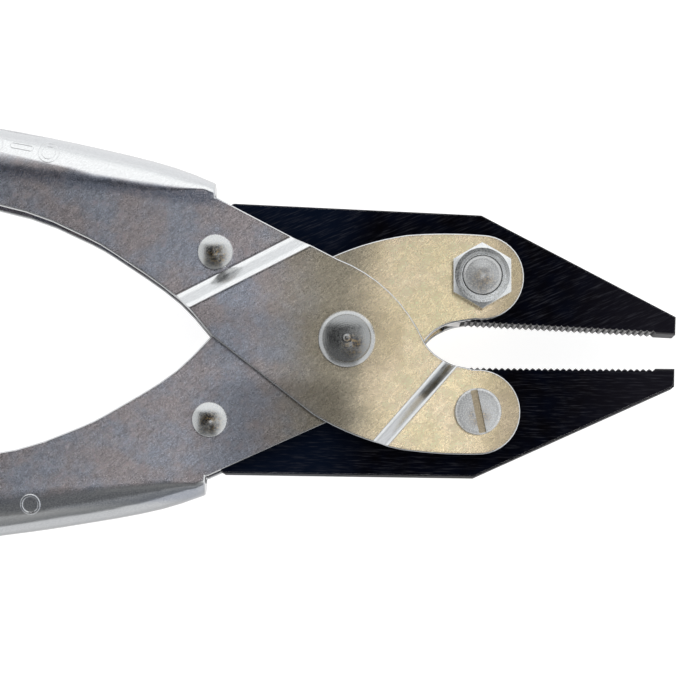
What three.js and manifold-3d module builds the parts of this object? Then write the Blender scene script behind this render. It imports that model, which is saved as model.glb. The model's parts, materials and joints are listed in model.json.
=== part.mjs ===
// Parallel-action flat-nose pliers, in millimetres, +Z up.
//
// Two identical folded-sheet handles cross at a pair of short centre rivets. Each handle
// carries one jaw on a screw at its front lobe, and a rear rivet that slides in a slot of the
// other jaw. The jaws therefore move apart without turning.
//
// Working frame: the centre pivot is the origin, +X points along the tool to the jaw tips,
// +Y is the way the upper jaw opens, and z = 0 is the middle plane of the jaws.
// The exported group then moves the origin to the bottom centre of the whole tool.
import * as THREE from 'three';
import { mergeVertices } from 'three/addons/utils/BufferGeometryUtils.js';
import Module from 'manifold-3d';

// ---- Driving dimensions ----
const OVERALL_LENGTH = 200;
const PIVOT_TO_TIP = 45.9;
const JAW_THICKNESS = 6;
const SHEET = 1.6; // thickness of the handle steel
const SIDE_GAP = 0.3; // running gap between flat sliding faces
const SEAT_GAP = 0.2; // gap under rivet heads, screw heads and nuts
const PIN_GAP = 0.1; // radial clearance of every pin in its hole

const FRONT_PIVOT = new THREE.Vector2(18.5, -9.42); // jaw screw, on the handle of the first half
const REAR_PIVOT = new THREE.Vector2(-18.7, 11.7); // sliding rivet, on the same handle

const HANDLE_REACH = OVERALL_LENGTH - PIVOT_TO_TIP; // pivot to handle end
const LOBE_RADIUS = 5.95;
const FOLD_END_X = -19.1; // where the rolled back of the channel stops
const SHOULDER_Y = 19.45; // top corner of the flat cheek, just in front of the fold's end
const FOLD_WIDTH = { least: 2, full: 6.85, start: 3, growth: 8.6 }; // widens from the head, over this length

const CREASE_REAR = { at: [-14.9, 9.1], angle: 28.9, width: 3.1 }; // rises to the raised panel
const CREASE_FRONT = { at: [9.73, -8.62], angle: 50.6, width: 2.3 }; // falls back to the lobe

const JAW_TIP = PIVOT_TO_TIP - FRONT_PIVOT.x; // lengths on a jaw are measured from its screw
const JAW_FACE = 6.39; // screw centre to gripping face, square to the jaw
const FACE_LEAN = 1; // degrees; the gripping face is ground so that the tips meet first
const JAW_CORNER = new THREE.Vector2(-0.26, 8.9); // where the outer edge turns down to the tip
const JAW_BACK_SLOPE = 0.6; // degrees, rise of the outer edge from that corner to the rear
const JAW_TIP_HEIGHT = 2.5;
const JAW_TILT = 0.35; // degrees; slack in the slots lets the tips lean together
const TEETH_ACROSS = 7; // teeth in the width of the gripping face
const TEETH_ALONG = 31;
const TOOTH_PITCH = JAW_THICKNESS / TEETH_ACROSS;
const TOOTH_DEPTH = 0.38;
const GROOVE_OVERLAP = 0.02; // neighbouring grooves run into each other, so the teeth are pointed
const TIP_PAD = 3.1; // smooth length before the tip
const JAW_EDGE = 0.15; // chamfer round both sides of the jaw
const ARM_INNER = 2.6; // screw centre to the inner edge of the rear arm
const ARM_STEP_X = -8; // where the gripping face steps back to the rear arm
const ARM_END_X = -44.3;
const ARM_TAPER_X = -35; // the rear end is tapered to clear the rolled back
const ARM_TAPER = 0.55; // fall per mm of taper
const SLOT_HEIGHT = 2.05; // slot centreline, outward of the screw
const SLOT_FRONT_X = -32.2;
const SLOT_REAR_X = -39.8;
const SLOT_SLACK = 0.25; // each side of the rear rivet

// Rivet heads: straight rim, slant to the cap radius, then a sphere of the crown radius with a nub.
const CENTRE_RIVET = {
  shank: 2.75, head: 4, rim: 0.45, cap: 3.3, crown: 9, height: 2.05, nub: 0.75, nubHeight: 0.35,
};
const CENTRE_FLANGE = { radius: 3.6, height: 0.7 };
const REAR_RIVET = {
  shank: 1.8, head: 2.5, rim: 0.6, cap: 2.3, crown: 5, height: 1.5, nub: 0.4, nubHeight: 0.1,
};
const SCREW = { shank: 2.5, head: 3.24, height: 1.5, slotWidth: 1, slotDepth: 0.8, slotAngle: 103.5 };
const NUT = { acrossFlats: 8, height: 2.7, angle: -1.8, chamfer: 0.55 };
const STUD_RISE = 0.75; // peened end of the screw above its nut

const ROUND_STEPS = 32;
const ARC_STEPS = 8;
const FOLD_STEPS = 20; // round the rolled back
const FOLD_STATIONS = 30; // along it

// ---- Levels, as heights above the middle plane ----
const CHEEK_INNER = JAW_THICKNESS / 2 + SIDE_GAP;
const CHEEK_OUTER = CHEEK_INNER + SHEET;
const CREASE_RISE = SHEET + SIDE_GAP;
const PANEL_OUTER = CHEEK_OUTER + CREASE_RISE;
const BIG = 400; // larger than the tool, for cutting blocks
const FLATNESS = 0.001; // facets closer to one plane than this are joined
const SAME_POINT = 0.001; // outline points nearer than this are one point

const wasm = await Module();
wasm.setup();

// ---- Solids ----
function toSolid(geometry) {
  const bare = geometry.clone();
  bare.deleteAttribute('normal');
  bare.deleteAttribute('uv');
  const merged = mergeVertices(bare, 1e-4);
  const corners = [];
  for (let i = 0; i < merged.index.count; i += 3) {
    const [a, b, c] = [0, 1, 2].map((k) => merged.index.getX(i + k));
    if (a !== b && b !== c && c !== a) {
      corners.push(a, b, c);
    }
  }
  const vertProperties = new Float32Array(merged.attributes.position.array);
  const triVerts = new Uint32Array(corners);
  return new wasm.Manifold(new wasm.Mesh({ numProp: 3, vertProperties, triVerts }));
}

function toGeometry(solid) {
  const mesh = solid.asOriginal().simplify(FLATNESS).getMesh();
  const geometry = new THREE.BufferGeometry();
  geometry.setAttribute('position', new THREE.BufferAttribute(new Float32Array(mesh.vertProperties), 3));
  geometry.setIndex(new THREE.BufferAttribute(new Uint32Array(mesh.triVerts), 1));
  geometry.computeVertexNormals();
  return geometry;
}

// ---- Outlines ----
function point(x, y) {
  return new THREE.Vector2(x, y);
}

function radians(degrees) {
  return THREE.MathUtils.degToRad(degrees);
}

function polar(centre, radius, degrees) {
  const turn = radians(degrees);
  return point(centre.x + radius * Math.cos(turn), centre.y + radius * Math.sin(turn));
}

function circleArc(centre, radius, from, to, steps = ARC_STEPS) {
  const points = [];
  for (let i = 0; i <= steps; i += 1) {
    points.push(polar(centre, radius, from + ((to - from) * i) / steps));
  }
  return points;
}

// The arc from a to c that passes through b, for an arc of less than half a turn.
function arcThrough(a, b, c, steps = ARC_STEPS) {
  const twice = 2 * (a.x * (b.y - c.y) + b.x * (c.y - a.y) + c.x * (a.y - b.y));
  const [sa, sb, sc] = [a, b, c].map((p) => p.lengthSq());
  const centre = point(
    (sa * (b.y - c.y) + sb * (c.y - a.y) + sc * (a.y - b.y)) / twice,
    (sa * (c.x - b.x) + sb * (a.x - c.x) + sc * (b.x - a.x)) / twice,
  );
  const degreesOf = (p) => THREE.MathUtils.radToDeg(Math.atan2(p.y - centre.y, p.x - centre.x));
  const from = degreesOf(a);
  let sweep = degreesOf(c) - from;
  if (sweep > 180) {
    sweep -= 360;
  }
  if (sweep < -180) {
    sweep += 360;
  }
  return circleArc(centre, centre.distanceTo(a), from, from + sweep, steps);
}

function shapeOf(...stretches) {
  const points = [];
  for (const p of stretches.flat()) {
    const last = points.at(-1);
    if (!last || last.distanceTo(p) > SAME_POINT) {
      points.push(p);
    }
  }
  if (points[0].distanceTo(points.at(-1)) < SAME_POINT) {
    points.pop();
  }
  return new THREE.Shape(points);
}

function plate(shape, low, high) {
  const geometry = new THREE.ExtrudeGeometry(shape, { depth: high - low, bevelEnabled: false });
  geometry.translate(0, 0, low);
  return geometry;
}

function circleHole(centre, radius) {
  return new THREE.Path(circleArc(centre, radius, 0, 360 - 360 / ROUND_STEPS, ROUND_STEPS - 1));
}

function drill(solid, centre, radius) {
  const bit = new THREE.CylinderGeometry(radius, radius, BIG, ROUND_STEPS);
  bit.rotateX(Math.PI / 2);
  bit.translate(centre.x, centre.y, 0);
  return solid.subtract(toSolid(bit));
}

// ---- Handle ----
// Outer edge of the rolled back, from the head to the end of the handle.
const outerEdge = new THREE.SplineCurve([
  point(-14.5, 20.1),
  point(-19.35, 22.05),
  point(-25, 24.1),
  point(-34, 26.15),
  point(-48.5, 28.7),
  point(-75, 32.3),
  point(-115, 36.9),
  point(-HANDLE_REACH - 6, 41),
]);

const innerEdge = new THREE.SplineCurve([
  point(-18.7, -0.2),
  point(-23.95, 5.3),
  point(-31.8, 10.55),
  point(-37.6, 13.65),
  point(-48.4, 17.35),
  point(-75, 21.5),
  point(-115, 26.3),
  point(-HANDLE_REACH + 4.6, 29.6),
]);

// One place along the rolled back, from 0 at the head to 1 at the handle's end.
function foldStation(share) {
  const edge = outerEdge.getPointAt(share);
  const tangent = outerEdge.getTangentAt(share);
  const fromHead = outerEdge.getLength() * share;
  const grown = 1 - Math.exp((FOLD_WIDTH.start - fromHead) / FOLD_WIDTH.growth);
  const inward = point(-tangent.y, tangent.x);
  return { edge, inward, width: Math.max(FOLD_WIDTH.least, FOLD_WIDTH.full * grown) };
}

function foldStations() {
  const stations = [];
  for (let i = 0; i <= FOLD_STATIONS; i += 1) {
    stations.push(foldStation((i / FOLD_STATIONS) ** 1.6));
  }
  return stations;
}

// The line where the flat cheeks end and the roll begins.
function foldLine() {
  return foldStations().map(({ edge, inward, width }) => edge.clone().addScaledVector(inward, width));
}

// Half an oval of sheet, with short legs that run into the cheeks: outer side, then back along the inner.
function foldSection({ edge, inward, width }) {
  const leg = 1;
  const at = (inset, z) => new THREE.Vector3(edge.x + inward.x * inset, edge.y + inward.y * inset, z);
  const outer = [at(width + leg, CHEEK_OUTER)];
  const inner = [at(width + leg, CHEEK_INNER)];
  for (let i = 0; i <= FOLD_STEPS; i += 1) {
    const turn = (Math.PI * i) / FOLD_STEPS;
    outer.push(at(width * (1 - Math.sin(turn)), CHEEK_OUTER * Math.cos(turn)));
    inner.push(at(width - (width - SHEET) * Math.sin(turn), CHEEK_INNER * Math.cos(turn)));
  }
  outer.push(at(width + leg, -CHEEK_OUTER));
  inner.push(at(width + leg, -CHEEK_INNER));
  return [...outer, ...inner.reverse()];
}

// Plan outline of one handle: from the fold's end round the head lobe to the handle's end.
function handleOutline() {
  const shoulder = point(FOLD_END_X + SIDE_GAP, SHOULDER_Y);
  const neckStart = point(-1.74, 11.2);
  const throat = point(10.77, -0.1);
  const lobeRoot = point(15.2, -3.05);
  const lobeBottom = polar(FRONT_PIVOT, LOBE_RADIUS, -90);
  const hip = point(7.84, -15.02);
  const heel = point(-4.4, -10.65);
  const inside = innerEdge.getPoints(22);
  const handleEnd = point(-HANDLE_REACH, 35.2);
  return shapeOf(
    [point(FOLD_END_X, SHOULDER_Y), shoulder],
    arcThrough(neckStart, point(7, 5.54), throat),
    arcThrough(throat, point(12.6, -2), lobeRoot),
    circleArc(FRONT_PIVOT, LOBE_RADIUS, 97, -90, 22),
    arcThrough(lobeBottom, point(13.5, -15.42), hip),
    arcThrough(hip, point(2, -13.52), heel),
    inside,
    arcThrough(inside.at(-1), handleEnd, point(-HANDLE_REACH + 5, 42.2)),
    [point(-HANDLE_REACH / 2, 60), point(FOLD_END_X, 60)],
  );
}

// Everything on the inner side of the fold line, and the whole head.
function cheekRegion(line) {
  const behindFoldEnd = line.filter((p) => p.x < FOLD_END_X - SIDE_GAP);
  return shapeOf(
    [point(FOLD_END_X, SHOULDER_Y + SIDE_GAP)],
    behindFoldEnd,
    [point(-BIG / 2, -BIG / 4), point(BIG / 4, -BIG / 4), point(BIG / 4, SHOULDER_Y + SIDE_GAP)],
  );
}

// A flat sheet that rises by one crease, towards the given direction.
function creasedSheet(crease, towards) {
  const lower = [];
  const steps = 6;
  for (let i = 0; i <= steps; i += 1) {
    const rise = (CREASE_RISE * (1 - Math.cos((Math.PI * i) / steps))) / 2;
    lower.push(point(crease.width * (i / steps - 0.5), CHEEK_INNER + rise));
  }
  lower.unshift(point(-BIG / 2, CHEEK_INNER));
  lower.push(point(BIG / 2, CHEEK_INNER + CREASE_RISE));
  const upper = lower.map((p) => point(p.x, p.y + SHEET)).reverse();
  const geometry = new THREE.ExtrudeGeometry(shapeOf(lower, upper), { depth: BIG, bevelEnabled: false });
  geometry.translate(0, 0, -BIG / 2);
  const up = new THREE.Vector3(0, 0, 1);
  const along = towards.clone().cross(up);
  geometry.applyMatrix4(new THREE.Matrix4().makeBasis(towards, up, along));
  geometry.translate(crease.at[0], crease.at[1], 0);
  return toSolid(geometry);
}

function acrossCrease(crease) {
  const turn = radians(crease.angle);
  return new THREE.Vector3(Math.sin(turn), -Math.cos(turn), 0);
}

// All space on one side of the line through the pivot that runs along the rear crease.
function sideBlock(direction) {
  const overlap = 0.05;
  const block = new THREE.BoxGeometry(BIG, BIG, BIG);
  block.rotateZ(Math.atan2(direction.y, direction.x));
  const shift = direction.clone().multiplyScalar(BIG / 2 - overlap);
  block.translate(shift.x, shift.y, 0);
  return toSolid(block);
}

function steppedCheek() {
  const forward = acrossCrease(CREASE_REAR);
  const backward = forward.clone().negate();
  const fromLobe = acrossCrease(CREASE_FRONT).negate();
  const rear = creasedSheet(CREASE_REAR, forward).intersect(sideBlock(backward));
  const front = creasedSheet(CREASE_FRONT, fromLobe).intersect(sideBlock(forward));
  return rear.add(front);
}

function flatCheek() {
  const slab = new THREE.BoxGeometry(BIG, BIG, SHEET);
  slab.translate(0, 0, -(CHEEK_INNER + CHEEK_OUTER) / 2);
  return toSolid(slab);
}

// A solid through sections whose points run along one side and back along the other.
function lofted(sections) {
  const size = sections[0].length;
  const triangles = [];
  const quad = (a, b, c, d) => triangles.push(a, c, b, a, d, c);
  for (let i = 0; i + 1 < sections.length; i += 1) {
    for (let j = 0; j < size; j += 1) {
      const next = (j + 1) % size;
      quad(i * size + j, (i + 1) * size + j, (i + 1) * size + next, i * size + next);
    }
  }
  const lastStart = (sections.length - 1) * size;
  for (let j = 0; j + 1 < size / 2; j += 1) {
    const cap = [j, j + 1, size - 2 - j, size - 1 - j];
    quad(...cap);
    quad(...cap.reverse().map((k) => lastStart + k));
  }
  const geometry = new THREE.BufferGeometry().setFromPoints(sections.flat());
  geometry.setIndex(triangles);
  return toSolid(geometry);
}

// The back of the channel, from its end at the head to beyond the handle's end.
function rolledBack() {
  const behind = new THREE.BoxGeometry(BIG, BIG, BIG);
  behind.translate(FOLD_END_X - BIG / 2, 0, 0);
  return lofted(foldStations().map(foldSection)).intersect(toSolid(behind));
}

function handleGeometry() {
  const silhouette = toSolid(plate(handleOutline(), -PANEL_OUTER - 1, PANEL_OUTER + 1));
  const region = toSolid(plate(cheekRegion(foldLine()), -PANEL_OUTER - 2, PANEL_OUTER + 2));
  const cheeks = steppedCheek().add(flatCheek()).intersect(region);
  let handle = cheeks.add(rolledBack()).intersect(silhouette);
  handle = drill(handle, point(0, 0), CENTRE_RIVET.shank + PIN_GAP);
  handle = drill(handle, FRONT_PIVOT, SCREW.shank + PIN_GAP);
  handle = drill(handle, REAR_PIVOT, REAR_RIVET.shank + PIN_GAP);
  return toGeometry(handle);
}

// ---- Jaw, with its screw hole at the origin and the gripping face towards -Y ----
function jawBackAt(x) {
  return JAW_CORNER.y + (JAW_CORNER.x - x) * Math.tan(radians(JAW_BACK_SLOPE));
}

function jawFaceAt(x) {
  return -JAW_FACE - x * Math.tan(radians(FACE_LEAN));
}

function jawOutline() {
  const faceAtTip = jawFaceAt(JAW_TIP);
  const armEndTop = jawBackAt(ARM_TAPER_X) - ARM_TAPER * (ARM_TAPER_X - ARM_END_X);
  const stepRadius = 2;
  return shapeOf(
    circleArc(point(ARM_STEP_X - stepRadius, -ARM_INNER - stepRadius), stepRadius, 90, 0, 5),
    [point(ARM_STEP_X, jawFaceAt(ARM_STEP_X))],
    [point(JAW_TIP, faceAtTip), point(JAW_TIP, faceAtTip + JAW_TIP_HEIGHT)],
    [JAW_CORNER, point(ARM_TAPER_X, jawBackAt(ARM_TAPER_X))],
    [point(ARM_END_X, armEndTop), point(ARM_END_X, -ARM_INNER)],
  );
}

function armSlot() {
  const radius = REAR_RIVET.shank + SLOT_SLACK + JAW_EDGE;
  const front = circleArc(point(SLOT_FRONT_X, SLOT_HEIGHT), radius, -90, 90);
  const rear = circleArc(point(SLOT_REAR_X, SLOT_HEIGHT), radius, 90, 270);
  return new THREE.Path([...front, ...rear]);
}

// A V-shaped cutter along Z at the origin, which sinks its point into the face y = 0 from below.
function grooveCutter(length) {
  const halfWidth = (TOOTH_PITCH + GROOVE_OVERLAP) / 2;
  const section = new THREE.Shape([
    point(-2 * halfWidth, -TOOTH_DEPTH),
    point(2 * halfWidth, -TOOTH_DEPTH),
    point(0, TOOTH_DEPTH),
  ]);
  const cutter = new THREE.ExtrudeGeometry(section, { depth: length, bevelEnabled: false });
  return cutter.translate(0, 0, -length / 2);
}

// Crossing sets of grooves that leave rows of small pyramids, up to the smooth tip pad.
function serrations() {
  const last = JAW_TIP - TIP_PAD;
  const length = TEETH_ALONG * TOOTH_PITCH;
  const cutters = [];
  for (let i = 0; i <= TEETH_ALONG; i += 1) {
    cutters.push(grooveCutter(2 * JAW_THICKNESS).translate(last - i * TOOTH_PITCH, 0, 0));
  }
  for (let i = 1; i < TEETH_ACROSS; i += 1) {
    const height = i * TOOTH_PITCH - JAW_THICKNESS / 2;
    cutters.push(grooveCutter(length).rotateY(Math.PI / 2).translate(last - length / 2, 0, height));
  }
  const onFace = (cutter) => toSolid(cutter.rotateZ(-radians(FACE_LEAN)).translate(0, -JAW_FACE, 0));
  return cutters.map(onFace).reduce((all, one) => all.add(one));
}

function jawGeometry() {
  const outline = jawOutline();
  outline.holes.push(circleHole(point(0, 0), SCREW.shank + PIN_GAP + JAW_EDGE), armSlot());
  const depth = JAW_THICKNESS - 2 * JAW_EDGE;
  const chamfer = { bevelThickness: JAW_EDGE, bevelSize: JAW_EDGE, bevelOffset: -JAW_EDGE, bevelSegments: 1 };
  const blank = new THREE.ExtrudeGeometry(outline, { depth, ...chamfer });
  blank.translate(0, 0, -depth / 2);
  return toGeometry(toSolid(blank).subtract(serrations()));
}

// ---- Turned pieces, on the Z axis ----
function turned(profile) {
  const geometry = new THREE.LatheGeometry(profile, ROUND_STEPS);
  geometry.rotateX(Math.PI / 2);
  return toSolid(geometry);
}

// Profile of a domed head from its seat to its tip, with a small nub in the middle.
function domeProfile(seat, rivet) {
  const steps = 5;
  const top = seat + rivet.height;
  const fall = (r) => rivet.crown - Math.sqrt(rivet.crown ** 2 - r ** 2);
  const points = [point(rivet.head, seat), point(rivet.head, seat + rivet.rim)];
  for (let i = 0; i <= steps; i += 1) {
    const r = rivet.cap + ((rivet.nub - rivet.cap) * i) / steps;
    points.push(point(r, top - fall(r)));
  }
  const nubTop = top + rivet.nubHeight;
  points.push(point(rivet.nub / 2, nubTop), point(0, nubTop));
  return points;
}

function centreRivetGeometry() {
  const seat = PANEL_OUTER + SEAT_GAP;
  const flangeTop = CHEEK_INNER - SEAT_GAP;
  const flangeBottom = flangeTop - CENTRE_FLANGE.height;
  const profile = [
    point(0, flangeBottom),
    point(CENTRE_FLANGE.radius, flangeBottom),
    point(CENTRE_FLANGE.radius, flangeTop),
    point(CENTRE_RIVET.shank, flangeTop),
    point(CENTRE_RIVET.shank, seat),
    ...domeProfile(seat, CENTRE_RIVET),
  ];
  return toGeometry(turned(profile));
}

function rearRivetGeometry() {
  const seat = CHEEK_OUTER + SEAT_GAP;
  const upper = [point(REAR_RIVET.shank, seat), ...domeProfile(seat, REAR_RIVET)];
  const lower = upper.map((p) => point(p.x, -p.y)).reverse();
  return toGeometry(turned([...lower, ...upper]));
}

function screwGeometry() {
  const seat = CHEEK_OUTER + SEAT_GAP;
  const top = seat + SCREW.height;
  const edge = 0.25;
  const crown = 0.1; // the head is slightly domed
  const end = seat + NUT.height + SEAT_GAP + STUD_RISE;
  const peening = [[0, 0], [0.45, 0.08], [0.8, 0.35]]; // share of the shank radius, drop from the end
  const profile = [
    ...peening.map(([share, drop]) => point(SCREW.shank * share, drop - end)),
    point(SCREW.shank, STUD_RISE - end),
    point(SCREW.shank, seat),
    point(SCREW.head, seat),
    point(SCREW.head, top - edge),
    point(SCREW.head - edge, top),
    point(0, top + crown),
  ];
  const slot = new THREE.BoxGeometry(SCREW.head * 3, SCREW.slotWidth, SCREW.slotDepth * 2);
  slot.rotateZ(radians(SCREW.slotAngle));
  slot.translate(0, 0, top);
  return toGeometry(turned(profile).subtract(toSolid(slot)));
}

// Hexagon nut below the lobe, its corners turned down on the outer side.
function nutGeometry() {
  const low = -CHEEK_OUTER - SEAT_GAP - NUT.height;
  const high = -CHEEK_OUTER - SEAT_GAP;
  const flat = NUT.acrossFlats / 2;
  const corner = flat / Math.cos(Math.PI / 6);
  const margin = 0.1;
  const beyond = 1;
  const hexagon = new THREE.Shape(circleArc(point(0, 0), corner, 30 + NUT.angle, 330 + NUT.angle, 5));
  hexagon.holes.push(circleHole(point(0, 0), SCREW.shank + PIN_GAP));
  const cone = turned([
    point(0, low),
    point(flat - margin, low),
    point(corner + margin, low + NUT.chamfer),
    point(corner + margin, high),
    point(0, high),
  ]);
  return toGeometry(toSolid(plate(hexagon, low - beyond, high + beyond)).intersect(cone));
}

// ---- Materials ----
const plated = new THREE.MeshStandardMaterial({ color: 0xa9a49b, roughness: 0.45, metalness: 0.9 });
const blackened = new THREE.MeshStandardMaterial({ color: 0x17181d, roughness: 0.5, metalness: 0.6 });
const bright = new THREE.MeshStandardMaterial({ color: 0xb9b7b2, roughness: 0.3, metalness: 1 });

function piece(name, geometry, material) {
  const mesh = new THREE.Mesh(geometry, material);
  mesh.name = name;
  return mesh;
}

function placed(mesh, at) {
  mesh.position.set(at.x, at.y, 0);
  return mesh;
}

// ---- One half of the tool: a handle with the jaw, screw and nut on its lobe, and its rear rivet ----
function half(names) {
  const group = new THREE.Group();
  const jaw = placed(piece(names.jaw, jawGeometry(), blackened), FRONT_PIVOT);
  jaw.rotation.set(Math.PI, 0, -radians(JAW_TILT));
  group.add(
    piece(names.handle, handleGeometry(), plated),
    jaw,
    placed(piece(names.screw, screwGeometry(), bright), FRONT_PIVOT),
    placed(piece(names.nut, nutGeometry(), bright), FRONT_PIVOT),
    placed(piece(names.rivet, rearRivetGeometry(), bright), REAR_PIVOT),
  );
  return group;
}

const first = half({
  handle: 'handle_a',
  jaw: 'lower_jaw',
  screw: 'lower_pivot_screw',
  nut: 'lower_pivot_nut',
  rivet: 'upper_rear_rivet',
});

// The second half is the same set turned over about the long axis of the tool.
const second = half({
  handle: 'handle_b',
  jaw: 'upper_jaw',
  screw: 'upper_pivot_screw',
  nut: 'upper_pivot_nut',
  rivet: 'lower_rear_rivet',
});
second.rotation.x = Math.PI;

const frontRivet = piece('centre_rivet_front', centreRivetGeometry(), bright);
const backRivet = piece('centre_rivet_back', centreRivetGeometry(), bright);
backRivet.rotation.x = Math.PI;

// ---- The whole tool, with its origin at the bottom centre ----
const HALF_HEIGHT = PANEL_OUTER + SEAT_GAP + CENTRE_RIVET.height + CENTRE_RIVET.nubHeight;
const pliers = new THREE.Group();
pliers.position.set(OVERALL_LENGTH / 2 - PIVOT_TO_TIP, 0, HALF_HEIGHT);
pliers.add(first, second, frontRivet, backRivet);

export default pliers;
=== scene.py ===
"""Looks of the parallel-action pliers: materials, fine pieces, floor, light and camera.

Lengths are in metres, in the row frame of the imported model: +X to the jaw tips, +Y the way the
upper jaw opens, +Z up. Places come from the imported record's joints and the nodes' boxes.
"""

import json
import math

import bmesh
import bpy
from mathutils import Matrix, Vector
from mathutils.bvhtree import BVHTree


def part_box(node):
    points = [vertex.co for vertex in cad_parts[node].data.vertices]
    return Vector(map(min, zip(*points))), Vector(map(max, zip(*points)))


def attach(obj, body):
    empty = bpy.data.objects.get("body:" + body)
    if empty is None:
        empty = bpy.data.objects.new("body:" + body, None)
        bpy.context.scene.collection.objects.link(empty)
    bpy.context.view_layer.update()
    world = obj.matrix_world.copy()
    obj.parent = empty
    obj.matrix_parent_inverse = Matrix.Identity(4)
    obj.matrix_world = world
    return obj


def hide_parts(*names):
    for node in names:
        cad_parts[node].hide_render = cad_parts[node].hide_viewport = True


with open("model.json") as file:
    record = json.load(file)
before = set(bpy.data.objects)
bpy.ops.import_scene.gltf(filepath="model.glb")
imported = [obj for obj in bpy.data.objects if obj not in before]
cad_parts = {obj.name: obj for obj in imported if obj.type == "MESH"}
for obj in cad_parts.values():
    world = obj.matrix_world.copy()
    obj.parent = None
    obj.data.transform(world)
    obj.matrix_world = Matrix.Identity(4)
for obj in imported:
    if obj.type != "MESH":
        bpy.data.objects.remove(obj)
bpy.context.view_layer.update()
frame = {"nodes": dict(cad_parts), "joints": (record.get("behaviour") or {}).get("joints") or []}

MM = 0.001
joints = {joint["name"]: joint for joint in frame["joints"]}
PIVOT = Vector(joints["handle_pivot"]["pos_m"])
LOWER_SCREW = Vector(joints["lower_jaw_pivot"]["pos_m"])
UPPER_SCREW = Vector(joints["upper_jaw_pivot"]["pos_m"])
HEAD_SEAT = 5.1 * MM  # pivot plane to the underside of the screw heads and the rear rivets' heads
FACE_SLOPE = math.tan(math.radians(1.35))  # the gripping faces lean together to the tips
FACE_AT_SCREW = 3.03 * MM  # tool's axis to a gripping face, beside the screws
TOOTHED_TO = 24.3 * MM  # screws to the smooth pad at the tips
FOLD_LINE_Y = 19.2 * MM  # tool's axis to where a handle starts to roll over, FOLD_LINE_X behind the pivot
FOLD_LINE_X = 20 * MM
FOLD_LINE_SLOPE = 0.106  # how that line moves outward towards the handle's end
FIXED = "fixed_handle"
MOVING = "moving_handle"

# ---- Camera ----
CAMERA_DISTANCE = 0.5
CAMERA_ELEVATION = 85.0  # degrees, looking down with a slight lean from the -Y side
CAMERA_ROLL = 1.8  # degrees, the tool's axis drops to the right
VIEW_WIDTH = 0.0972  # width of the view at the tool
LOOK_FROM_PIVOT = Vector((0.47 * MM, -1.45 * MM, 6 * MM))


def make_camera():
    camera = bpy.data.cameras.new("camera")
    camera.sensor_width = 36
    camera.lens = camera.sensor_width * CAMERA_DISTANCE / VIEW_WIDTH
    camera.clip_start = 0.01
    camera.clip_end = 100
    holder = bpy.data.objects.new("camera", camera)
    bpy.context.scene.collection.objects.link(holder)
    lean = math.radians(CAMERA_ELEVATION)
    roll = math.radians(CAMERA_ROLL)
    backward = Vector((0, -math.cos(lean), math.sin(lean)))
    level = Vector((1, 0, 0))
    upward = backward.cross(level)
    right = level * math.cos(roll) + upward * math.sin(roll)
    up = backward.cross(right)
    target = PIVOT + LOOK_FROM_PIVOT
    turn = Matrix((right, up, backward)).transposed().to_4x4()
    holder.matrix_world = Matrix.Translation(target + backward * CAMERA_DISTANCE) @ turn
    bpy.context.scene.camera = holder


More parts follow.
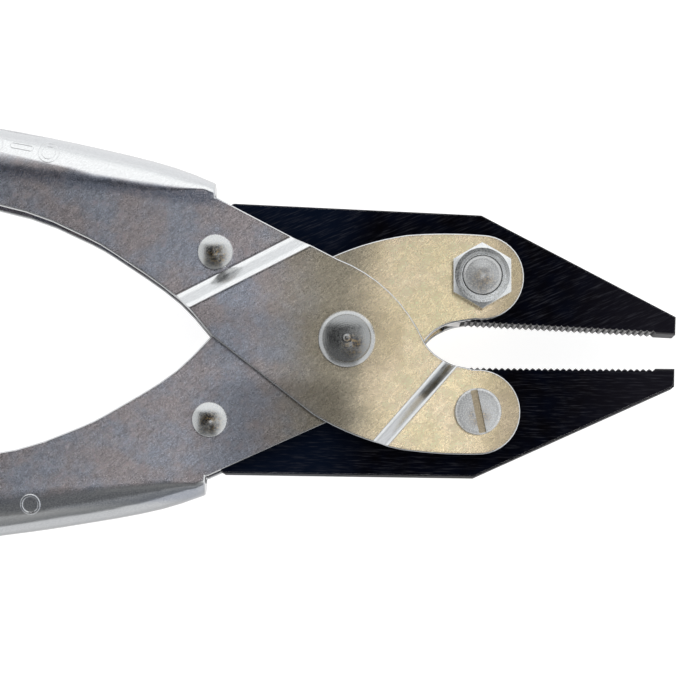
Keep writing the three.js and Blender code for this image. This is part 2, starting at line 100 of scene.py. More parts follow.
# ---- Node helpers ----
class Nodes:
    """A short way to build a node tree."""

    def __init__(self, tree):
        self.tree = tree
        self.tree.nodes.clear()

    def add(self, kind, **values):
        node = self.tree.nodes.new(kind)
        for name, value in values.items():
            setattr(node, name, value)
        return node

    def link(self, source, target):
        self.tree.links.new(source, target)

    def feed(self, socket, value):
        if isinstance(value, bpy.types.NodeSocket):
            self.link(value, socket)
        else:
            socket.default_value = value

    def math(self, operation, a, b=0.0, clamp=False):
        node = self.add("ShaderNodeMath", operation=operation, use_clamp=clamp)
        self.feed(node.inputs[0], a)
        self.feed(node.inputs[1], b)
        return node.outputs[0]

    def vector(self, operation, a, b):
        node = self.add("ShaderNodeVectorMath", operation=operation)
        self.feed(node.inputs[0], a)
        self.feed(node.inputs[1], b)
        return node.outputs["Vector"]

    def span(self, value, low, high, to_low=0.0, to_high=1.0):
        """value from low..high to to_low..to_high, held at both ends, with a smooth start and stop."""
        node = self.add("ShaderNodeMapRange", interpolation_type="SMOOTHSTEP")
        self.feed(node.inputs["Value"], value)
        node.inputs["From Min"].default_value = low
        node.inputs["From Max"].default_value = high
        node.inputs["To Min"].default_value = to_low
        node.inputs["To Max"].default_value = to_high
        return node.outputs["Result"]

    def mix(self, share, a, b):
        node = self.add("ShaderNodeMix", data_type="RGBA")
        self.feed(node.inputs[0], share)
        self.feed(node.inputs[6], a)
        self.feed(node.inputs[7], b)
        return node.outputs[2]

    def noise(self, where, size, detail=4.0, roughness=0.6, distortion=0.0):
        """Noise whose main features are about size metres wide."""
        node = self.add("ShaderNodeTexNoise")
        self.feed(node.inputs["Vector"], where)
        node.inputs["Scale"].default_value = 1 / size
        node.inputs["Detail"].default_value = detail
        node.inputs["Roughness"].default_value = roughness
        node.inputs["Distortion"].default_value = distortion
        return node.outputs["Fac"]

    def stretched(self, where, angle, along, across):
        """Coordinates turned by angle about Z and squeezed, so noise there makes fine lines."""
        node = self.add("ShaderNodeMapping")
        node.inputs["Rotation"].default_value = (0, 0, -math.radians(angle))
        self.feed(node.inputs["Vector"], where)
        return self.vector("MULTIPLY", node.outputs["Vector"], (1 / along, 1 / across, 1 / across))

    def near_edge(self, radius, low, high):
        """0 on flat ground, rising to 1 towards edges; low and high are how far the rounded normal turns."""
        rounded = self.add("ShaderNodeBevel", samples=4)
        rounded.inputs["Radius"].default_value = radius
        face = self.add("ShaderNodeNewGeometry").outputs["Normal"]
        turn = self.add("ShaderNodeVectorMath", operation="DOT_PRODUCT")
        self.link(rounded.outputs["Normal"], turn.inputs[0])
        self.link(face, turn.inputs[1])
        return self.span(turn.outputs["Value"], 1 - low, 1 - high)

    def scaled(self, colour, factor):
        node = self.add("ShaderNodeVectorMath", operation="SCALE")
        self.feed(node.inputs[0], colour)
        self.feed(node.inputs["Scale"], factor)
        return node.outputs["Vector"]

    def bump(self, height, strength, distance, normal=None):
        node = self.add("ShaderNodeBump")
        node.inputs["Strength"].default_value = strength
        node.inputs["Distance"].default_value = distance
        self.feed(node.inputs["Height"], height)
        if normal is not None:
            self.link(normal, node.inputs["Normal"])
        return node.outputs["Normal"]


def principled(name):
    """A new material with its node helper, shader and object coordinates."""
    material = bpy.data.materials.new(name)
    material.use_nodes = True
    nodes = Nodes(material.node_tree)
    output = nodes.add("ShaderNodeOutputMaterial")
    shader = nodes.add("ShaderNodeBsdfPrincipled")
    nodes.link(shader.outputs["BSDF"], output.inputs["Surface"])
    where = nodes.add("ShaderNodeTexCoord").outputs["Object"]
    return material, nodes, shader, where


# ---- Materials ----
def by_fold(nodes, place):
    """Where the painted dark band of shade lies: 1 along the line where a handle's flat side starts to roll
    over into its back, fading off it.
    """
    outward = nodes.math("ABSOLUTE", place.outputs["Y"])
    line = nodes.math("MULTIPLY", nodes.math("ADD", place.outputs["X"], FOLD_LINE_X), -FOLD_LINE_SLOPE)
    past_line = nodes.math("SUBTRACT", nodes.math("SUBTRACT", outward, line), FOLD_LINE_Y)
    lower_shift = nodes.span(place.outputs["Y"], -1 * MM, 1 * MM, -2.4 * MM, 0)
    past_line = nodes.math("ADD", past_line, lower_shift)
    start = nodes.span(past_line, -1.7 * MM, -0.2 * MM)
    end = nodes.span(past_line, 1.5 * MM, 0.6 * MM)
    near = nodes.math("MULTIPLY", start, end)
    weaker_below = nodes.span(place.outputs["Y"], -1 * MM, 1 * MM, 0.7, 1)
    near = nodes.math("MULTIPLY", near, weaker_below)
    return nodes.math("MULTIPLY", near, nodes.span(place.outputs["X"], -17 * MM, -21 * MM))


def plated_sheet():
    """Satin plated sheet: grey, then brown by the pivot, champagne on the lobes, with a painted near-white
    sheen on folds and creases.

    Some of the shading is painted by place on the part and by the way its own surface faces.
    """
    material, nodes, shader, where = principled("plated_sheet")
    place = nodes.add("ShaderNodeSeparateXYZ")
    nodes.link(nodes.vector("SUBTRACT", where, tuple(PIVOT)), place.inputs[0])
    facing = nodes.add("ShaderNodeSeparateXYZ")
    nodes.link(nodes.add("ShaderNodeTexCoord").outputs["Normal"], facing.inputs[0])
    upright = nodes.math("ABSOLUTE", facing.outputs["Z"])
    flatness = nodes.span(upright, 0.95, 0.998)
    clouds = nodes.noise(where, 7 * MM, detail=5)
    blotches = nodes.noise(where, 1.6 * MM, detail=6, roughness=0.7)
    speckle = nodes.noise(where, 0.16 * MM, detail=3, roughness=0.8)
    hairs = nodes.noise(nodes.stretched(where, 40, 1.2 * MM, 0.16 * MM), 1.0, detail=3, roughness=0.7)

    drift = nodes.math("MULTIPLY", nodes.math("SUBTRACT", clouds, 0.5), 8 * MM)
    along = nodes.math("ADD", place.outputs["X"], drift)
    bluish = (0.46, 0.48, 0.555, 1)
    reddish = (0.525, 0.47, 0.48, 1)
    cool_grey = nodes.mix(nodes.span(clouds, 0.38, 0.62), bluish, reddish)
    cool_grey = nodes.mix(nodes.span(blotches, 0.5, 0.7, 0, 0.4), cool_grey, (0.55, 0.44, 0.445, 1))
    champagne = nodes.mix(nodes.span(clouds, 0.35, 0.65), (1, 0.83, 0.54, 1), (1, 0.82, 0.58, 1))
    body = nodes.mix(nodes.span(along, -14 * MM, -2 * MM), cool_grey, (0.42, 0.37, 0.285, 1))
    body = nodes.mix(nodes.span(along, -1 * MM, 7 * MM), body, champagne)
    # Painted shade towards the lobes' ends.
    body = nodes.scaled(body, nodes.span(place.outputs["X"], 17 * MM, 22.5 * MM, 1, 0.6))
    # Painted shade close to the tool's axis, up to just past the pivot.
    from_axis = nodes.math("ABSOLUTE", place.outputs["Y"])
    near_axis = nodes.span(from_axis, 6 * MM, 2 * MM)
    by_pivot = nodes.math("MULTIPLY", near_axis, nodes.span(along, 9 * MM, 6 * MM))
    body = nodes.scaled(body, nodes.span(by_pivot, 0, 1, 1, 0.82))
    # Painted shade on the -Y side near where the handles cross.
    from_rear = nodes.span(along, -26 * MM, -12 * MM)
    by_crossing = nodes.math("MULTIPLY", from_rear, nodes.span(along, 3 * MM, -4 * MM))
    painted_crossing_shade = nodes.math("MULTIPLY", by_crossing, nodes.span(place.outputs["Y"], -2 * MM, -9 * MM))
    body = nodes.scaled(body, nodes.span(painted_crossing_shade, 0, 1, 1, 0.54))
    fine_hairs = nodes.span(hairs, 0.2, 0.8, -0.25, 0.25)
    grain = nodes.math("ADD", nodes.span(speckle, 0.2, 0.8, -0.5, 0.5), fine_hairs)
    grain = nodes.math("MULTIPLY", grain, nodes.span(along, -1 * MM, 7 * MM, 1, 0.45))
    mottled = nodes.scaled(body, nodes.math("ADD", nodes.span(blotches, 0.3, 0.7, 0.9, 1.05), grain))
    # Painted light and shade on folds and creases: a near-white sheen, darker on steep sides and where they
    # face -Y, with grain.
    bend_sheen_and_grain = nodes.mix(nodes.span(upright, 0.88, 0.68), (0.92, 0.92, 0.92, 1), (0.56, 0.57, 0.585, 1))
    bend_sheen_and_grain = nodes.scaled(bend_sheen_and_grain, nodes.span(upright, 0.05, 0.5, 0.38, 1))
    bend_sheen_and_grain = nodes.scaled(bend_sheen_and_grain, nodes.span(facing.outputs["Y"], -0.6, -0.32, 0.74, 1))
    bend_sheen_and_grain = nodes.scaled(bend_sheen_and_grain, nodes.span(hairs, 0.25, 0.75, 0.92, 1.08))
    bend_sheen_and_grain = nodes.scaled(bend_sheen_and_grain, nodes.span(speckle, 0.3, 0.7, 0.93, 1.04))
    # A painted dark band of shade along the fold line, speckled.
    painted_fold_shade = nodes.math("MULTIPLY", by_fold(nodes, place), nodes.span(speckle, 0.35, 0.62, 0.95, 0.4))
    tone = nodes.mix(painted_fold_shade, nodes.mix(flatness, bend_sheen_and_grain, mottled), (0.14, 0.165, 0.23, 1))
    # A painted dark fringe of shade along edges, speckled, on flat faces only.
    rim = nodes.near_edge(0.9 * MM, 0.002, 0.06)
    painted_edge_shade = nodes.math("MULTIPLY", rim, nodes.span(speckle, 0.3, 0.62, 0.75, 0.1))
    tint = nodes.mix(nodes.math("MULTIPLY", painted_edge_shade, flatness), tone, (0.16, 0.16, 0.19, 1))
    nodes.link(tint, shader.inputs["Base Color"])

    shader.inputs["Metallic"].default_value = 1.0
    satin = nodes.span(blotches, 0.25, 0.75, 0.22, 0.32)
    nodes.link(nodes.math("MULTIPLY", satin, nodes.span(flatness, 0, 1, 0.55, 1)), shader.inputs["Roughness"])
    pits = nodes.bump(speckle, 0.4, 0.012 * MM)
    nodes.link(nodes.bump(blotches, 0.2, 0.05 * MM, pits), shader.inputs["Normal"])
    return material


def black_steel(name, grain_angle, side):
    """Black oxide on ground steel with fine grinding lines; the teeth's flanks facing -X are bright, partly
    wear and partly a painted highlight.
    """
    material, nodes, shader, where = principled(name)
    lines = nodes.noise(nodes.stretched(where, grain_angle, 3 * MM, 0.12 * MM), 1.0, detail=4, roughness=0.7)
    scratches = nodes.noise(nodes.stretched(where, grain_angle + 2, 2.5 * MM, 0.13 * MM), 1.0, detail=4)
    clouds = nodes.noise(where, 4 * MM)
    speckle = nodes.noise(where, 0.3 * MM, detail=3)
    place = nodes.add("ShaderNodeSeparateXYZ")
    nodes.link(nodes.vector("SUBTRACT", where, (LOWER_SCREW.x, PIVOT.y, PIVOT.z)), place.inputs[0])
    across = nodes.math("MULTIPLY", place.outputs["Y"], side)
    leaning = nodes.math("MULTIPLY", place.outputs["X"], FACE_SLOPE)
    above_face = nodes.math("SUBTRACT", nodes.math("ADD", across, leaning), FACE_AT_SCREW)

    faint = nodes.math("MULTIPLY", nodes.span(scratches, 0.5, 0.72), 0.3)
    body = nodes.mix(nodes.span(clouds, 0.3, 0.7), (0.0012, 0.001, 0.0016, 1), (0.001, 0.0016, 0.0045, 1))
    body = nodes.mix(nodes.span(place.outputs["X"], 8 * MM, 26 * MM), body, (0.006, 0.0055, 0.008, 1))
    body = nodes.mix(nodes.span(place.outputs["X"], -14 * MM, -22 * MM), body, (0.0018, 0.0035, 0.009, 1))
    oxide = nodes.mix(faint, body, (0.05, 0.05, 0.06, 1))
    corner = nodes.near_edge(0.14 * MM, 0.05, 0.3)
    rubbed = nodes.math("MULTIPLY", corner, nodes.span(speckle, 0.35, 0.6, 0.15, 0.7))
    # The teeth's flanks facing -X are bright steel, partly wear and partly a painted highlight; the rubbed
    # edges elsewhere are wear.
    teeth = nodes.span(above_face, 0.3 * MM, 0.02 * MM)
    facing = nodes.add("ShaderNodeSeparateXYZ")
    nodes.link(nodes.add("ShaderNodeTexCoord").outputs["Normal"], facing.inputs[0])
    rear_flank = nodes.span(facing.outputs["X"], 0.05, -0.05, 0.03, 1)
    before_pad = nodes.span(place.outputs["X"], TOOTHED_TO - 0.1 * MM, TOOTHED_TO + 0.1 * MM, 1, 0.12)
    flank_wear_and_highlight = nodes.math("MULTIPLY", teeth, nodes.math("MULTIPLY", rear_flank, before_pad))
    elsewhere = nodes.math("MULTIPLY", rubbed, nodes.math("SUBTRACT", 1, teeth))
    wear_and_flank_highlight = nodes.math("MAXIMUM", flank_wear_and_highlight, elsewhere)
    nodes.link(nodes.mix(wear_and_flank_highlight, oxide, (0.8, 0.78, 0.78, 1)), shader.inputs["Base Color"])
    nodes.link(wear_and_flank_highlight, shader.inputs["Metallic"])
    shader.inputs["Specular IOR Level"].default_value = 0.05
    shader.inputs["IOR"].default_value = 1.12
    nodes.link(nodes.span(lines, 0.3, 0.7, 0.3, 0.5), shader.inputs["Roughness"])
    nodes.link(nodes.bump(lines, 0.35, 0.02 * MM), shader.inputs["Normal"])
    return material


def bright_steel(
    name, centre, ring, tarnish, stained=(0, 0, 0), shade=1.0, shaded=1.0, metal=1.0, slot=None, rim=0.85
):
    """Bright steel turned about the Z axis through centre. ring is the width of the tool marks.

    tarnish is how strong the brown staining is, and stained is where it is centred, from centre.
    shade is painted shade on the clean steel within the radius shaded, and rim is painted shade outside it,
    or painted light when above 1.
    metal is below 1 for a dull face.
    slot is the side, level and radius of a slotted head, whose slot is stained beige.
    """
    material, nodes, shader, where = principled(name)
    local = nodes.vector("SUBTRACT", where, tuple(centre))
    flat = nodes.vector("MULTIPLY", local, (1, 1, 0))
    radius = nodes.add("ShaderNodeVectorMath", operation="LENGTH")
    nodes.link(flat, radius.inputs[0])
    from_stain = nodes.add("ShaderNodeVectorMath", operation="LENGTH")
    nodes.link(nodes.vector("SUBTRACT", flat, stained), from_stain.inputs[0])
    wobble = nodes.noise(where, 0.9 * MM, detail=4)
    fine = nodes.noise(where, 0.25 * MM, detail=5, roughness=0.7)
    marks = nodes.math("SINE", nodes.math("MULTIPLY", radius.outputs["Value"], math.tau / ring))
    patch = nodes.span(from_stain.outputs["Value"], 2.2 * MM, 0.6 * MM)
    stain = nodes.math("MULTIPLY", patch, nodes.span(wobble, 0.35, 0.6, 0.3, 1))
    hue = nodes.mix(nodes.span(fine, 0.45, 0.6), (0.07, 0.07, 0.08, 1), (0.42, 0.29, 0.13, 1))
    silver = nodes.mix(nodes.span(fine, 0.3, 0.7), (0.6, 0.61, 0.63, 1), (0.78, 0.78, 0.76, 1))
    # Painted shade inside the radius shaded; outside it painted shade, or painted light when rim is above 1.
    painted_shade_and_light = nodes.span(radius.outputs["Value"], shaded, shaded + 0.1 * MM, shade, rim)
    clean = nodes.scaled(silver, painted_shade_and_light)
    colour = nodes.mix(nodes.math("MULTIPLY", stain, tarnish), clean, hue)
    if slot:
        side, level, reach = slot
        height = nodes.add("ShaderNodeSeparateXYZ")
        nodes.link(nodes.vector("MULTIPLY", local, (1, 1, side)), height.inputs[0])
        sunk = nodes.span(height.outputs["Z"], level - 0.06 * MM, level - 0.25 * MM)
        above_floor = nodes.span(height.outputs["Z"], level - 1.3 * MM, level - 1.1 * MM)
        inside = nodes.span(radius.outputs["Value"], reach - 0.1 * MM, reach - 0.3 * MM)
        sunk = nodes.math("MULTIPLY", nodes.math("MULTIPLY", sunk, above_floor), inside)
        colour = nodes.mix(sunk, colour, (0.36, 0.3, 0.21, 1))
    nodes.link(colour, shader.inputs["Base Color"])
    shader.inputs["Metallic"].default_value = metal
    nodes.link(nodes.span(fine, 0.3, 0.7, 0.18, 0.32), shader.inputs["Roughness"])
    turned = nodes.bump(marks, 0.1, 0.01 * MM)
    nodes.link(nodes.bump(fine, 0.3, 0.02 * MM, turned), shader.inputs["Normal"])
    return material


def paint(piece, material):
    piece.data.materials.clear()
    piece.data.materials.append(material)


# ---- Mesh helpers ----
def new_piece(name, mesh, material, body, slot, *nodes_replaced):
    piece = bpy.data.objects.new(name, mesh)
    bpy.context.scene.collection.objects.link(piece)
    paint(piece, material)
    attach(piece, body)
    if nodes_replaced:
        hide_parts(*nodes_replaced)
    return piece


def smooth_by_angle(mesh, degrees):
    mesh.shade_smooth()
    mesh.set_sharp_from_angle(angle=math.radians(degrees))


def finish_mesh(name, bm, smooth=35):
    bmesh.ops.recalc_face_normals(bm, faces=bm.faces)
    mesh = bpy.data.meshes.new(name)
    bm.to_mesh(mesh)
    bm.free()
    smooth_by_angle(mesh, smooth)
    return mesh


def lathe(profile, centre, steps=96):
    """A closed solid turned about the Z axis through centre; profile runs from axis to axis."""
    bm = bmesh.new()
    rings = []
    for radius, height in profile:
        if radius < 1e-9:
            rings.append([bm.verts.new(centre + Vector((0, 0, height)))])
            continue
        turns = [math.tau * step / steps for step in range(steps)]
        places = [Vector((radius * math.cos(a), radius * math.sin(a), height)) for a in turns]
        rings.append([bm.verts.new(centre + place) for place in places])
    for low, high in zip(rings, rings[1:]):
        for step in range(steps):
            following = (step + 1) % steps
            corners = [low[step % len(low)], low[following % len(low)]]
            corners += [high[following % len(high)], high[step % len(high)]]
            distinct = list(dict.fromkeys(corners))
            if len(distinct) > 2:
                bm.faces.new(distinct)
    return bm


def cut(base, cutter, operation):
    """base with cutter taken away or kept in common; both are bmeshes and both are used up."""
    bases = [finish_mesh("base", base), finish_mesh("cutter", cutter)]
    pair = [bpy.data.objects.new(mesh.name, mesh) for mesh in bases]
    for item in pair:
        bpy.context.scene.collection.objects.link(item)
    modifier = pair[0].modifiers.new("cut", "BOOLEAN")
    modifier.operation = operation
    modifier.solver = "EXACT"
    modifier.object = pair[1]
    evaluated = pair[0].evaluated_get(bpy.context.evaluated_depsgraph_get())
    bm = bmesh.new()
    bm.from_mesh(evaluated.to_mesh())
    for item in pair:
        bpy.data.objects.remove(item)
    return bm


def break_edges(bm, width, degrees=30, segments=2):
    """Rounds every edge sharper than degrees by width."""
    bmesh.ops.dissolve_limit(bm, angle_limit=math.radians(0.5), verts=bm.verts, edges=bm.edges)
    paired = [edge for edge in bm.edges if len(edge.link_faces) == 2]
    sharp = [edge for edge in paired if edge.calc_face_angle() > math.radians(degrees)]
    bmesh.ops.bevel(
        bm, geom=sharp, offset=width, segments=segments, profile=0.5, affect="EDGES", clamp_overlap=True
    )
    return bm


# ---- CAD nodes that stay: handles and jaws ----
def soften(node, width, degrees, smooth):
    """Joins the flat facets of a CAD node and rounds its sharp edges, by modifiers alone."""
    piece = frame["nodes"][node]
    weld = piece.modifiers.new("join_corners", "WELD")
    weld.merge_threshold = 0.02 * MM
    flatten = piece.modifiers.new("join_facets", "DECIMATE")
    flatten.decimate_type = "DISSOLVE"
    flatten.angle_limit = math.radians(0.6)
    bevel = piece.modifiers.new("round_edges", "BEVEL")
    bevel.width = width
    bevel.segments = 3
    bevel.limit_method = "ANGLE"
    bevel.angle_limit = math.radians(degrees)
    bevel.use_clamp_overlap = False
    normals = piece.modifiers.new("even_normals", "WEIGHTED_NORMAL")
    normals.weight = 50
    normals.keep_sharp = True
    smooth_by_angle(piece.data, smooth)
    return piece


def dress_handles():
    sheet = plated_sheet()
    for node in ("handle_a", "handle_b"):
        paint(soften(node, 0.22 * MM, 40, 32), sheet)
    return sheet


def dress_jaws():
    paint(frame["nodes"]["upper_jaw"], black_steel("upper_jaw_steel", 23, 1))
    paint(frame["nodes"]["lower_jaw"], black_steel("lower_jaw_steel", -1, -1))
    for node in ("upper_jaw", "lower_jaw"):
        frame["nodes"][node].data.shade_flat()


# ---- Turned pieces ----
def box_facts(node):
    """Centre on the pivot plane, radius, and lowest and highest level of a round CAD node."""
    low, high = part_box(node)
    centre = Vector(((low.x + high.x) / 2, (low.y + high.y) / 2, PIVOT.z))
    return centre, (high.x - low.x) / 2, low.z - PIVOT.z, high.z - PIVOT.z


def cap(radius, crown, top, nub, steps=14):
    """Profile of a shallow sphere from radius in to the nub; crown is the sphere's own radius."""
    points = []
    for step in range(steps + 1):
        r = radius + (nub - radius) * step / steps
        points.append((r, top - crown + math.sqrt(crown ** 2 - r ** 2)))
    return points


def rear_rivets():
    shank = 1.8 * MM
    for node, body in (("upper_rear_rivet", FIXED), ("lower_rear_rivet", MOVING)):
        centre, radius, _, high = box_facts(node)
        top = high - 0.12 * MM
        head = [(shank, HEAD_SEAT), (radius - 0.1 * MM, HEAD_SEAT)]
        head += [(radius, HEAD_SEAT + 0.1 * MM), (radius, HEAD_SEAT + 0.5 * MM)]
        head += [(radius - 0.04 * MM, HEAD_SEAT + 0.66 * MM), (radius - 0.12 * MM, HEAD_SEAT + 0.77 * MM)]
        head += cap(radius - 0.22 * MM, 4.3 * MM, top, 0.34 * MM)
        head += [(0.3 * MM, top + 0.03 * MM), (0.2 * MM, top + 0.04 * MM), (0.12 * MM, top - 0.06 * MM)]
        head += [(0, top - 0.08 * MM)]
        profile = [(r, -z) for r, z in reversed(head)] + head
        material = bright_steel(node + "_steel", centre, 0.25 * MM, 0.95, (0.1 * MM, -0.5 * MM, 0))
        mesh = finish_mesh(node + "_fine", lathe(profile, centre))
        new_piece(node + "_fine", mesh, material, body, "bright_steel", node)


def centre_rivets():
    shank = 2.75 * MM
    flange = 3.6 * MM
    seat = 7.0 * MM
    for node, side in (("centre_rivet_front", 1), ("centre_rivet_back", -1)):
        centre, radius, low, high = box_facts(node)
        inner, peak = (low, high) if side > 0 else (-high, -low)
        top = peak - 0.35 * MM
        profile = [(0, inner), (flange - 0.1 * MM, inner), (flange, inner + 0.1 * MM)]
        profile += [(flange, inner + 0.6 * MM), (flange - 0.1 * MM, inner + 0.7 * MM)]
        profile += [(shank, inner + 0.7 * MM)]
        profile += [(shank, seat), (radius - 0.1 * MM, seat)]
        profile += [(radius, seat + 0.1 * MM), (radius, seat + 0.35 * MM)]
        profile += [(radius - 0.05 * MM, seat + 0.46 * MM), (radius - 0.5 * MM, seat + 0.82 * MM)]
        profile += [(radius - 0.62 * MM, seat + 0.86 * MM), (radius - 0.7 * MM, seat + 1.02 * MM)]
        profile += cap(radius - 0.8 * MM, 9 * MM, top, 0.74 * MM, 20)
        profile += [(0.7 * MM, top - 0.08 * MM), (0.6 * MM, top - 0.06 * MM), (0.52 * MM, top + 0.12 * MM)]
        profile += [(0.4 * MM, top + 0.25 * MM), (0.2 * MM, top + 0.33 * MM), (0, peak)]
        profile = [(r, side * z) for r, z in profile]
        stain = (0.9 * MM, -1.1 * MM, 0)
        # Painted shade on the dome, and a lighter painted shade on the rim.
        material = bright_steel(
            node + "_steel", centre, 0.3 * MM, 0.85, stain, shade=0.6, shaded=radius - 0.7 * MM
        )
        mesh = finish_mesh(node + "_fine", lathe(profile, centre))
        new_piece(node + "_fine", mesh, material, FIXED, "bright_steel", node)


def bar(centre, length, width, low, high, degrees):
    """A box-shaped cutter, used only to cut screw slots."""
    bm = bmesh.new()
    bmesh.ops.create_cube(bm, size=1)
    bmesh.ops.scale(bm, vec=(length, width, high - low), verts=bm.verts)
    turn = Matrix.Rotation(math.radians(degrees), 3, "Z")
    bmesh.ops.rotate(bm, cent=(0, 0, 0), matrix=turn, verts=bm.verts)
    bmesh.ops.translate(bm, vec=centre + Vector((0, 0, (low + high) / 2)), verts=bm.verts)
    return bm


def pivot_screws():
    shank = 2.5 * MM
    peened = 2.66 * MM
    nut_face = 7.8 * MM
    screws = (("lower_pivot_screw", FIXED, 1, 103.5), ("upper_pivot_screw", MOVING, -1, -103.5))
    for node, body, side, slot in screws:
        centre, radius, low, high = box_facts(node)
        top, end = (high, -low) if side > 0 else (-low, high)
        top -= 0.1 * MM
        profile = [(0, -end), (0.5 * MM, -end + 0.02 * MM), (1.1 * MM, -end + 0.12 * MM)]
        profile += [(1.7 * MM, -end + 0.3 * MM)]
        profile += [(2.3 * MM, -end + 0.42 * MM), (peened, -nut_face - 0.14 * MM)]
        profile += [(peened - 0.06 * MM, -nut_face - 0.04 * MM), (shank, -nut_face)]
        profile += [(shank, HEAD_SEAT), (radius - 0.1 * MM, HEAD_SEAT)]
        profile += [(radius, HEAD_SEAT + 0.1 * MM), (radius, top - 0.3 * MM)]
        profile += [(radius - 0.12 * MM, top - 0.12 * MM), (radius - 0.3 * MM, top - 0.02 * MM)]
        profile += [(radius - 0.5 * MM, top), (1.2 * MM, top + 0.03 * MM), (0, top + 0.04 * MM)]
        profile = [(r, side * z) for r, z in profile]
        floor, ceiling = sorted((side * (top - 0.8 * MM), side * (top + 1 * MM)))
        slot_cutter = bar(centre, 3 * radius, 1.0 * MM, floor, ceiling, slot)
        solid = cut(lathe(profile, centre), slot_cutter, "DIFFERENCE")
        head = (side, top, radius)
        stain = (0.1 * MM, -0.8 * MM, 0)
        # Painted shade on the head inside this radius, and a lighter painted shade at its edge.
        dull = radius - 0.5 * MM
        material = bright_steel(
            node + "_steel", centre, 0.35 * MM, 0.6, stain, shade=0.66, shaded=dull, metal=0.6, slot=head
        )
        mesh = finish_mesh(node + "_fine", solid)
        new_piece(node + "_fine", mesh, material, body, "bright_steel", node)


def prism(centre, sides, corner, low, high, degrees):
    """A regular prism with its first corner at that angle."""
    bm = bmesh.new()
    turns = [math.radians(degrees + 360 * side / sides) for side in range(sides)]
    rings = []
    for z in (low, high):
        places = [Vector((corner * math.cos(a), corner * math.sin(a), z)) for a in turns]
        rings.append([bm.verts.new(centre + place) for place in places])
    bm.faces.new(rings[0])
    bm.faces.new(rings[1])
    for side in range(sides):
        following = (side + 1) % sides
        bm.faces.new((rings[0][side], rings[0][following], rings[1][following], rings[1][side]))
    return bm


def pivot_nuts():
    across_flats = 8 * MM
    bore = 2.6 * MM
    corner = across_flats / 2 / math.cos(math.pi / 6)
    nuts = (("lower_pivot_nut", FIXED, -1, -1.8), ("upper_pivot_nut", MOVING, 1, 1.8))
    for node, body, side, angle in nuts:
        low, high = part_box(node)
        centre = LOWER_SCREW if side < 0 else UPPER_SCREW
        base, top = sorted((abs(low.z - PIVOT.z), abs(high.z - PIVOT.z)))
        reach = corner + 0.2 * MM
        cone = [(0, base), (reach - 0.35 * MM, base), (reach, base + 0.2 * MM), (reach, top - 0.55 * MM)]
        cone += [(3.8 * MM, top), (bore + 0.2 * MM, top)]
        cone += [(bore + 0.05 * MM, top - 0.2 * MM), (0, top - 0.2 * MM)]
        cone = [(r, side * z) for r, z in cone]
        hole = [(0, base - 1 * MM), (bore, base - 1 * MM), (bore, top + 1 * MM), (0, top + 1 * MM)]
        hole = [(r, side * z) for r, z in hole]
        ends = sorted((side * (base - 1 * MM), side * (top + 1 * MM)))
        hexagon = prism(centre, 6, corner, ends[0], ends[1], 30 + angle)
        solid = cut(cut(hexagon, lathe(cone, centre), "INTERSECT"), lathe(hole, centre), "DIFFERENCE")
        solid = break_edges(solid, 0.06 * MM, 25)
        # Painted shade on the face inside this radius, and painted light on the corners outside it.
        face = 3.75 * MM
        material = bright_steel(node + "_steel", centre, 0.4 * MM, 0.3, shade=0.8, shaded=face, rim=1.25)
        mesh = finish_mesh(node + "_fine", solid, 12)
        new_piece(node + "_fine", mesh, material, body, "bright_steel", node)


# ---- Pressed marks on the handles: blank rings and bars ----
def surface_point(tree, x, y):
    above = Vector((PIVOT.x + x, PIVOT.y + y, 1))
    place, normal, _, _ = tree.ray_cast(above, Vector((0, 0, -1)))
    return place, normal


def raised_line(name, node, body, outline, width, material):
    """A low rounded bead on the front of a handle along a closed outline, given from the pivot."""
    mesh = frame["nodes"][node].data
    tree = BVHTree.FromPolygons([v.co for v in mesh.vertices], [p.vertices for p in mesh.polygons])
    bm = bmesh.new()
    sides = 8
    rings = []
    count = len(outline)
    for i, (x, y) in enumerate(outline):
        place, normal = surface_point(tree, x, y)
        ahead, _ = surface_point(tree, *outline[(i + 1) % count])
        behind, _ = surface_point(tree, *outline[i - 1])
        along = (ahead - behind).normalized()
        across = along.cross(normal).normalized()
        turns = [math.tau * side / sides for side in range(sides)]
        ring = [place + across * width * math.cos(a) + normal * width * 0.55 * math.sin(a) for a in turns]
        rings.append([bm.verts.new(p) for p in ring])
    for i in range(count):
        first, second = rings[i], rings[(i + 1) % count]
        for side in range(sides):
            following = (side + 1) % sides
            bm.faces.new((first[side], first[following], second[following], second[side]))
    new_piece(name, finish_mesh(name, bm, 60), material, body, "plated_sheet")


def ring_outline(x, y, radius, steps=40):
    turns = [math.tau * step / steps for step in range(steps)]
    return [(x + radius * math.cos(a), y + radius * math.sin(a)) for a in turns]


def bar_outline(x, y, length, radius, degrees, steps=8):
    """A long ring with round ends."""
    points = []
    for end, start in ((1, -90), (-1, 90)):
        for step in range(steps + 1):
            turn = math.radians(start + 180 * step / steps)
            points.append((end * length / 2 + radius * math.cos(turn), radius * math.sin(turn)))
    lean = math.radians(degrees)
    turned = []
    for u, v in points:
        along = u * math.cos(lean) - v * math.sin(lean)
        turned.append((x + along, y + u * math.sin(lean) + v * math.cos(lean)))
    return turned


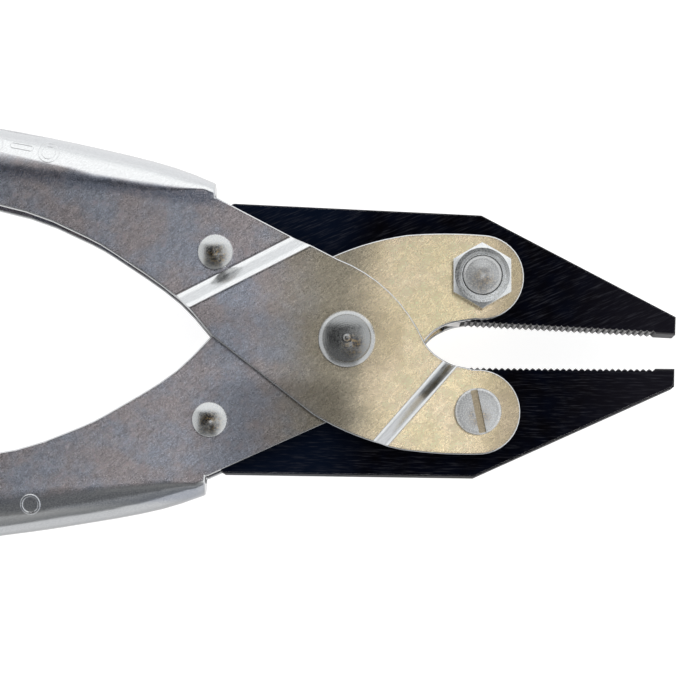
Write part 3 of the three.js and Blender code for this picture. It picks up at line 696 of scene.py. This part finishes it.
def pressed_marks(sheet):
    fine = 0.07 * MM
    front_ring = (-42.6 * MM, 25.15 * MM)
    raised_line("mark_upper_ring", "handle_a", FIXED, ring_outline(*front_ring, 0.95 * MM), fine, sheet)
    raised_line("mark_upper_outer", "handle_a", FIXED, ring_outline(*front_ring, 1.45 * MM), fine, sheet)
    rear_ring = ring_outline(-50.5 * MM, 26.15 * MM, 1.45 * MM)
    raised_line("mark_upper_rear", "handle_a", FIXED, rear_ring, fine, sheet)
    long_bar = bar_outline(-46.4 * MM, 25.85 * MM, 2.5 * MM, 0.38 * MM, -9)
    raised_line("mark_upper_bar", "handle_a", FIXED, long_bar, fine, sheet)
    lower_ring = ring_outline(-43.2 * MM, -24.2 * MM, 1.22 * MM)
    raised_line("mark_lower_ring", "handle_b", MOVING, lower_ring, 0.22 * MM, sheet)


# ---- Floor and light ----
def make_floor():
    bm = bmesh.new()
    bmesh.ops.create_grid(bm, x_segments=8, y_segments=8, size=4)
    bmesh.ops.translate(bm, vec=(0, 0, -0.1 * MM), verts=bm.verts)
    floor = bpy.data.objects.new("floor", finish_mesh("floor", bm))
    bpy.context.scene.collection.objects.link(floor)
    material, nodes, shader, where = principled("pale_floor")
    tone = nodes.mix(nodes.noise(where, 0.4), (0.3, 0.3, 0.3, 1), (0.34, 0.34, 0.34, 1))
    nodes.link(tone, shader.inputs["Base Color"])
    shader.inputs["Emission Color"].default_value = (1, 1, 1, 1)
    shader.inputs["Emission Strength"].default_value = 0.85
    shader.inputs["Roughness"].default_value = 0.9
    shader.inputs["Specular IOR Level"].default_value = 0.1
    paint(floor, material)


def make_world():
    """Soft lamp banks on all four sides of a dim ceiling, with a glow overhead towards the jaws."""
    world = bpy.data.worlds.new("studio")
    bpy.context.scene.world = world
    world.use_nodes = True
    nodes = Nodes(world.node_tree)
    direction = nodes.add("ShaderNodeTexCoord").outputs["Generated"]
    part = nodes.add("ShaderNodeSeparateXYZ")
    nodes.link(direction, part.inputs[0])
    height = part.outputs["Z"]
    overhead = nodes.span(part.outputs["X"], -0.03, 0.04, 0.185, 2.2)
    ring = nodes.span(part.outputs["X"], 0.0, 0.3, 0.05, 0.3)
    above = nodes.add("ShaderNodeMix", data_type="FLOAT")
    nodes.link(nodes.span(height, 0.994, 0.975), above.inputs[0])
    nodes.link(overhead, above.inputs[2])
    nodes.link(ring, above.inputs[3])
    level = above.outputs[0]
    banks = [
        ("Y", 0.42, 0.56, 1.05),
        ("Y", -0.72, -0.86, 0.43),
        ("Y", -0.06, -0.3, 0.19),
        ("X", 0.3, 0.5, 0.9),
        ("X", -0.55, -0.75, 0.75),
    ]
    for axis, dark, light, strength in banks:
        level = nodes.math("MAXIMUM", level, nodes.span(part.outputs[axis], dark, light, 0, strength))
    background = nodes.add("ShaderNodeBackground")
    background.inputs["Color"].default_value = (0.97, 0.99, 1, 1)
    nodes.link(level, background.inputs["Strength"])
    output = nodes.add("ShaderNodeOutputWorld")
    nodes.link(background.outputs[0], output.inputs["Surface"])


def soft_light(name, place, size, power):
    """A large square lamp aimed at the pivot, which lights matt surfaces but is not mirrored in metal."""
    lamp = bpy.data.lights.new(name, "AREA")
    lamp.shape = "SQUARE"
    lamp.size = size
    lamp.energy = power
    holder = bpy.data.objects.new(name, lamp)
    bpy.context.scene.collection.objects.link(holder)
    holder.location = PIVOT + Vector(place)
    holder.rotation_euler = (-Vector(place)).to_track_quat("-Z", "Y").to_euler()
    holder.visible_glossy = False


make_camera()
make_floor()
make_world()
soft_light("key", (-0.5, 0.9, 1.6), 1.8, 22)
soft_light("fill", (0.7, -0.9, 1.5), 1.8, 18)
bpy.context.scene.view_settings.view_transform = "Standard"

sheet_steel = dress_handles()
dress_jaws()
rear_rivets()
centre_rivets()
pivot_screws()
pivot_nuts()
pressed_marks(sheet_steel)
